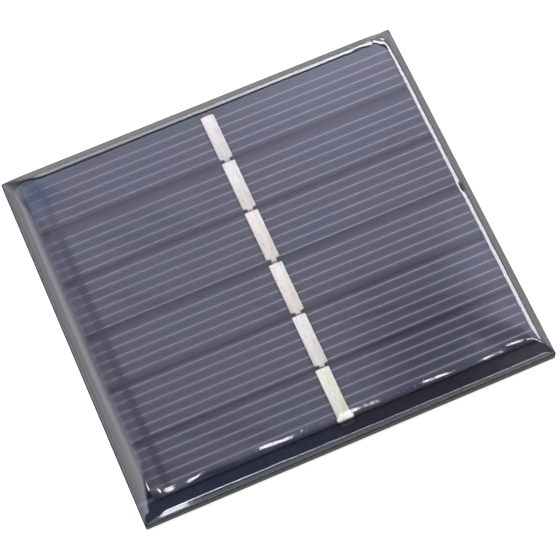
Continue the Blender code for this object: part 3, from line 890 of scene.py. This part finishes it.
def add_grid(number, look, bus_x):
    """Screen-printed fingers and busbar, of slightly uneven width."""
    rows, width, low, high = finger_rows(number)
    bottom = box_mm(f"cell_{number}")[1][2] - 0.002
    height = high[2] - bottom
    rand = random.Random(70 + number)
    printed = []
    steps = int((high[0] - low[0]) / FINGER_STEP)
    for row in rows:
        path = []
        for step in range(steps + 1):
            x = low[0] + (high[0] - low[0]) * step / steps
            wide = bumps(x * 0.9, row * 3.0, number)
            half = width / 2 * (FINGER_WIDENING + 0.25 * wide + rand.uniform(-0.05, 0.05))
            if step in (0, steps):
                half *= 0.35
            path.append((x, row + 0.006 * wide, half, height * (0.85 + 0.15 * wide)))
        printed.append(ridge(path, bottom))
    path = []
    for step in range(BUSBAR_STEPS + 1):
        y = low[1] + (high[1] - low[1]) * step / BUSBAR_STEPS
        half = BUSBAR_HALF * (0.55 if step in (0, BUSBAR_STEPS) else 1.0)
        path.append((bus_x, y, half, height * 0.8))
    printed.append(ridge(path, bottom))
    name, replaced = f"silver_fingers_{number}", [f"silver_grid_{number}"]
    add_piece(name, together(printed), look, replaced, sharp=70.0)


# --- Ribbons and solder ---


def arc(centre, radius, start, end, steps):
    """Points on an arc in the (y, z) plane, angles in degrees."""
    points = []
    for step in range(steps + 1):
        angle = math.radians(start + (end - start) * step / steps)
        points.append((centre[0] + radius * math.cos(angle), centre[1] + radius * math.sin(angle)))
    return points


def ribbon_section(half, y, number):
    """The ribbon's section at one station, as (across, up): round sides and uneven solder on top."""
    across = (-1.0, -0.965, -0.87, -0.68, -0.45, -0.2, 0.05, 0.3, 0.52, 0.73, 0.88, 0.965, 1.0)
    coat, slow, quick = SOLDER_COAT

    def risen(u, reach):
        """0 at the ribbon's side, levelling out at 1 over a reach."""
        return 1 - math.exp(-(1 - abs(u)) * half / reach)

    section = []
    for u in across:
        height = coat + slow * bumps(u * half * 2.2, y * 0.55, number * 3.3)
        height += quick * bumps(u * half * 7.0, y * 2.2, number * 5.1)
        solder_top = max(height * risen(u, SOLDER_RISE), 0.0)
        section.append((u * half, RIBBON_THICKNESS / 2 * risen(u, RIBBON_ROUND) + solder_top))
    for u in across[::-1][1:-1]:
        section.append((u * half, -RIBBON_THICKNESS / 2 * risen(u, RIBBON_ROUND)))
    return section


def loft_ribbon(number, centre_x, path, look):
    """Sweeps the ribbon's section along a path of (y, z, half width)."""
    sections = []
    for i, (y, z, half) in enumerate(path):
        before, after = path[max(i - 1, 0)], path[min(i + 1, len(path) - 1)]
        dy, dz = after[0] - before[0], after[1] - before[1]
        length = math.hypot(dy, dz)
        ny, nz = -dz / length, dy / length
        if nz < -1e-6 or (abs(nz) <= 1e-6 and ny > 0):
            ny, nz = -ny, -nz
        highest = RIBBON_THICKNESS / 2 + 0.06 * abs(nz)
        section = ribbon_section(half, y, number)
        sections.append([(centre_x + u, y + ny * v, z + nz * min(v, highest)) for u, v in section])
    name, replaced = f"soldered_ribbon_{number}", [f"tab_ribbon_{number}"]
    add_piece(name, stack(sections), look, replaced, sharp=55.0)


def ribbon_path(number):
    """The ribbon's centre line, from the top of its cell down through the gap to where it ends."""
    low, high = box_mm(f"tab_ribbon_{number}")
    edge = box_mm(f"cell_{number}")[0][1]
    half = (high[0] - low[0]) / 2
    upper = high[2] - RIBBON_THICKNESS / 2
    lower = low[2] + RIBBON_THICKNESS / 2
    start, radius = high[1], RIBBON_TURN
    last = number == CELL_COUNT
    gap = LAST_GAP if last else edge - box_mm(f"cell_{number + 1}")[1][1]
    neck = half if last else NECK_HALF
    tip = start - RIBBON_TIP
    wide, narrowed, narrow = [edge + before for before in NECK_STARTS]
    path = [(start, upper, half * 0.93), (tip, upper, half)]
    for step in range(1, RIBBON_STATIONS + 1):
        y = tip + (wide - tip) * step / RIBBON_STATIONS
        sway = 0.02 * bumps(number * 2.0, y * 0.8, 0.0)
        path.append((y, upper, half * (1 + sway)))
    path += [(narrowed, upper, (half + neck) / 2), (narrow, upper, neck)]
    drop = edge - gap / 2
    path += [(y, z, neck) for y, z in arc((drop + radius, upper - radius), radius, 90, 180, 5)]
    path += [(y, z, neck) for y, z in arc((drop - radius, lower + radius), radius, 0, -90, 5)]
    neck_end, wide_again = [drop - gap / 2 - past for past in NECK_ENDS]
    path += [(neck_end, lower, neck), (wide_again, lower, half), (low[1], lower, half)]
    return path


def add_ribbons():
    """The six tinned ribbons."""
    for number in range(1, CELL_COUNT + 1):
        low, high = box_mm(f"tab_ribbon_{number}")
        centre_x, half = halfway(low, high)[0], half_size(low, high)[0]
        look = tinned_ribbon(number, centre_x, half, box_mm(f"cell_{number}")[0][1])
        loft_ribbon(number, centre_x, ribbon_path(number), look)


def mound(centre, half, bottom, top):
    """A solder mound: a rounded-square footprint that domes over, with an uneven outline."""
    seed, square, base_share, rough = 2.0, 4.0, 0.35, 0.07
    rings, around = 12, 56
    sections = []
    for ring in range(rings + 1):
        t = ring / rings
        shrink = math.cos(t * math.pi / 2) ** 0.55
        z = bottom + (top - bottom) * (base_share + (1 - base_share) * math.sin(t * math.pi / 2))
        level = []
        for k in range(around):
            angle = 2 * math.pi * k / around
            c, s = math.cos(angle), math.sin(angle)
            reach = (abs(c) ** square + abs(s) ** square) ** (-1 / square)
            wobble = 1 + rough * bumps(c * 1.7, s * 1.7, seed)
            x = centre[0] + half[0] * c * reach * shrink * wobble
            y = centre[1] + half[1] * s * reach * shrink * wobble
            lift = 0.03 * bumps(x * 1.6, y * 1.6, seed + 3.0) * math.sin(t * math.pi / 2)
            level.append((x, y, min(z + lift, top)))
        sections.append(level)
    base = [(x, y, bottom) for x, y, _ in sections[0]]
    return stack([base, *sections[:-1]])


def add_solder(looks):
    """The solder over the last ribbon's end: a cross-wise bar that lies on the last cell's near edge."""
    low, high = box_mm("negative_solder_joint")
    cell_low, cell_high = box_mm(f"cell_{CELL_COUNT}")
    shift = SOLDER_BAR_SHIFT
    centre = (halfway(low, high)[0] + shift[0], cell_low[1] + shift[1])
    bar = mound(centre, SOLDER_BAR, cell_high[2] - 0.02, high[2] - 0.02)
    add_piece("solder_foot", bar, looks["solder"], ["negative_solder_joint"], sharp=70.0)


def add_pads(looks):
    """The two tinned terminal pads on the back, each faintly crowned and dimpled by its via."""
    rings = 22
    for pole in POLES:
        low, high = box_mm(f"{pole}_terminal_pad")
        via = halfway(*box_mm(f"{pole}_via"))
        centre, half = halfway(low, high), half_size(low, high)[:2]
        sections = [rounded_outline(centre, half, PAD_CORNER, high[2])]
        for ring in range(rings):
            inset = ring / rings * (min(half) - 0.05)
            size = [h - inset for h in half]
            radius = max(PAD_CORNER - inset * 0.35, 0.04)
            level = []
            for x, y, _ in rounded_outline(centre, size, radius, 0):
                crown = high[2] * 0.75 * math.exp(-inset / 0.16)
                dimple = 0.035 * math.exp(-((x - via[0]) ** 2 + (y - via[1]) ** 2) / 0.09)
                uneven = 0.008 * (1 + bumps(x * 0.9, y * 0.9, 6.0)) * (1 - math.exp(-inset / 0.2))
                level.append((x, y, min(crown + dimple + uneven, high[2] - 0.004)))
            sections.append(level)
        name, replaced = f"{pole}_tinned_pad", [f"{pole}_terminal_pad"]
        add_piece(name, stack(sections), looks["pad"], replaced, sharp=60.0)


def add_front_pads(looks):
    """The copper pads under the resin. The near one is under solder mask except where its joint sits."""
    for pole, look in zip(POLES, ("copper", "potted_mask")):
        low, high = box_mm(f"{pole}_front_pad")
        centre, half = halfway(low, high), half_size(low, high)
        pad = rounded_plate(centre, half, PAD_CORNER, high[2] - 0.02, high[2] + 0.01, 0.008)
        add_piece(f"{pole}_front_copper", pad, looks[look], [f"{pole}_front_pad"])


def add_print(looks):
    """Generic plus and minus marks and pad outlines in white ink on the back."""
    bars = []
    for pole in POLES:
        low, high = box_mm(f"{pole}_terminal_pad")
        centre = halfway(low, high)
        mark = (low[0] - MARK_FROM_PAD, centre[1])
        bars.append((mark, MARK))
        if pole == "positive":
            bars.append((mark, MARK[::-1]))
        reach = [h + LINE_FROM_PAD for h in half_size(low, high)]
        for sign in (-1, 1):
            bars.append(((centre[0], centre[1] + sign * reach[1]), (reach[0] - PAD_CORNER, LINE_HALF)))
            bars.append(((centre[0] + sign * reach[0], centre[1]), (LINE_HALF, reach[1] - PAD_CORNER)))
    printed = []
    for centre, half in bars:
        printed.append(rounded_plate(centre, half, min(half) * 0.6, 0.0, PRINT_THICKNESS, 0.003, 4))
    add_piece("polarity_print", together(printed), looks["ink"])


# --- Studio ---


def add_camera():
    """The camera, at the photograph's viewing angle."""
    right = Vector(CAMERA_RIGHT).normalized()
    down = Vector(CAMERA_DOWN)
    up = -(down - right * down.dot(right)).normalized()
    back = right.cross(up)
    turn = Matrix((right, up, back)).transposed().to_4x4()
    data = bpy.data.cameras.new("camera")
    data.lens = CAMERA_LENS
    data.sensor_width = SENSOR_WIDTH
    data.clip_start = 0.01
    data.clip_end = 50.0
    camera = bpy.data.objects.new("camera", data)
    camera.matrix_world = Matrix.Translation(Vector(CAMERA_PLACE) * MM) @ turn
    bpy.context.scene.collection.objects.link(camera)
    bpy.context.scene.camera = camera


def add_floor():
    """A plain pale floor."""
    corners = ((-1, -1), (1, -1), (1, 1), (-1, 1))
    points = [(sx * FLOOR_HALF, sy * FLOOR_HALF, FLOOR_LEVEL) for sx, sy in corners]
    floor = add_mesh("floor", (points, [(0, 1, 2, 3)]))
    tree = material("pale_floor")
    look = tree.principled(
        Base_Color=tree.mix(tree.noise(0.002, 2.0), (0.93, 0.93, 0.93), (0.95, 0.95, 0.95)),
        Roughness=0.9,
        Specular_IOR_Level=0.1,
        Emission_Color=(1.0, 1.0, 1.0),
        Emission_Strength=FLOOR_GLOW,
    )
    floor.data.materials.append(look)


def add_studio():
    """Soft boxes round a pale room, written as a procedural sky. The camera itself sees a plain pale wall.

    x, y and z say where a ray points, and azimuth is 0 at the far side and grows to the right.
    """
    world = bpy.data.worlds.new("studio")
    world.use_nodes = True
    bpy.context.scene.world = world
    tree = Nodes(world)
    span, fall, near, times, plus = tree.span, tree.fall, tree.near, tree.times, tree.plus
    way = tree.add("ShaderNodeTexCoord").outputs["Generated"]
    x, y, z = tree.add("ShaderNodeSeparateXYZ", {"Vector": way}).outputs
    azimuth = tree.math("DEGREES", tree.math("ARCTAN2", x, y))
    elevation = tree.math("DEGREES", tree.math("ARCSINE", z))

    def ramp(value, low, high, out_low, out_high):
        """An even change, without span's soft ends."""
        return span(value, low, high, out_low, out_high, smooth=False)

    # The room: bright low down, more so beyond the far and right sides, and dark overhead.
    room = plus(
        span(elevation, 22.0, 50.0, 1.0, 0.05),
        times(near(azimuth, 50.0, 48.0, 14.0), fall(elevation, 18.0, 24.0), 0.5),
        times(near(azimuth, 62.0, 26.0, 12.0), fall(elevation, 26.0, 40.0), 0.25),
    )
    # The big soft box over the far side: its near edge runs slantwise, and it is uneven.
    slant = plus(y, times(x, 0.35))
    over = times(span(slant, 0.205, 0.258), span(elevation, 49.0, 52.0))
    over = times(over, fall(x, 0.62, 0.72), span(x, -0.16, 0.02, 0.6, 1.0))
    level = plus(
        1.08,
        plus(ramp(y, 0.407, 0.52, 0.0, 0.56), ramp(y, 0.33, 0.407, -0.30, 0.0)),
        ramp(x, 0.0, 0.20, -0.13, 0.14),
        times(span(x, 0.10, 0.17), span(y, 0.41, 0.47), 0.5),
        times(near(x, 0.163, 0.010, 0.035), fall(y, 0.35, 0.40), -0.50),
        times(span(x, 0.165, 0.195), fall(y, 0.36, 0.40), 0.35),
    )
    over = times(over, level)
    # A soft box at the left, fading towards the far side.
    left = times(
        fall(azimuth, -41.0, -12.0),
        span(azimuth, -84.0, -76.0),
        span(elevation, 2.0, 10.0),
        fall(elevation, 67.0, 73.0),
        ramp(elevation, 15.0, 57.0, 0.5, 2.6),
    )
    # A thin arched strip lamp from the far side to the right.
    rise = plus(span(azimuth, 12.0, 32.0, 32.5, 30.0), span(azimuth, 34.0, 56.0, 0.0, 14.0))
    arch = times(
        near(tree.minus(elevation, rise), 0.5, 5.2, 1.4),
        fall(azimuth, 66.0, 72.0),
        span(azimuth, 1.0, 2.5),
        span(azimuth, 5.0, 14.0, 3.2, 8.5),
    )
    # A thin strip behind the camera, lower and dimmer towards the right, with a drop at its left end.
    course = ramp(x, 0.044, 0.182, 54.0, 35.0)
    behind = span(y, 0.0, -0.1)
    back_side = times(
        near(tree.minus(elevation, course), 0.0, 2.6, 1.6),
        span(x, 0.030, 0.036),
        fall(x, 0.21, 0.26),
        span(x, 0.05, 0.13, 9.0, 3.8),
        behind,
    )
    drop = times(near(x, 0.034, 0.005, 0.004), near(elevation, 35.0, 18.0, 3.0), behind, 9.0)
    # A row of short tubes along the big box's near edge.
    tubes = plus(*(near(x, (start + end) / 2, (end - start) / 2, 0.004) for start, end in TUBES))
    tubes = times(near(slant, 0.252, 0.008, 0.007), tubes, 11.0)
    light = times(plus(room, left, arch, back_side, drop, tubes), span(z, -0.02, 0.02))
    lamps = tree.add("ShaderNodeBackground", {"Color": (1.0, 0.99, 1.02), "Strength": light})
    soft_box = tree.add("ShaderNodeBackground", {"Color": (0.945, 0.955, 1.24), "Strength": over})
    lit = tree.add("ShaderNodeAddShader", {0: lamps.outputs[0], 1: soft_box.outputs[0]})
    shown = tree.add("ShaderNodeBackground", {"Color": (1.0, 1.0, 1.0), "Strength": 1.0})
    seen = tree.add("ShaderNodeLightPath").outputs["Is Camera Ray"]
    tree.close(tree.blend(seen, lit.outputs[0], shown.outputs[0]), "ShaderNodeOutputWorld")
    world.cycles.sampling_method = "MANUAL"
    world.cycles.sample_map_resolution = 2048


def main():
    """Builds the looks."""
    scene = bpy.context.scene
    scene.view_settings.view_transform = "Standard"
    add_camera()
    add_studio()
    add_floor()
    looks = {
        "laminate": laminate(),
        "mask": solder_mask(),
        "potted_mask": solder_mask("potted_solder_mask", 0.05, True),
        "ink": screen_ink(),
        "solder": solder(),
        "pad": solder("tinned_pad_solder", (0.78, 0.79, 0.80), (0.60, 0.61, 0.62), 0.55),
        "copper": copper(),
        "aluminium": aluminium_paste(),
        "tape": black_tape(),
    }
    add_board(looks)
    silver = silver_paste(box_mm("cell_1")[0][0])
    for number in range(1, CELL_COUNT + 1):
        ribbon = box_mm(f"tab_ribbon_{number}")
        bus_x = halfway(*ribbon)[0]
        add_cell(number, silicon(number, bus_x, half_size(*ribbon)[0]))
        add_grid(number, silver, bus_x)
    add_ribbons()
    add_solder(looks)
    add_pads(looks)
    add_front_pads(looks)
    add_print(looks)
    add_resin()
    kept = {
        "aluminium": [f"rear_contact_{n}" for n in range(1, CELL_COUNT + 1)],
        "solder": ["positive_via", "negative_via", "positive_solder_joint", "positive_lead_tab"],
        "tape": ["adhesive_strip_left", "adhesive_strip_right"],
    }
    for look, names in kept.items():
        for name in names:
            mesh_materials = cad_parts[name].data.materials
            mesh_materials.clear()
            mesh_materials.append(looks[look])


main()
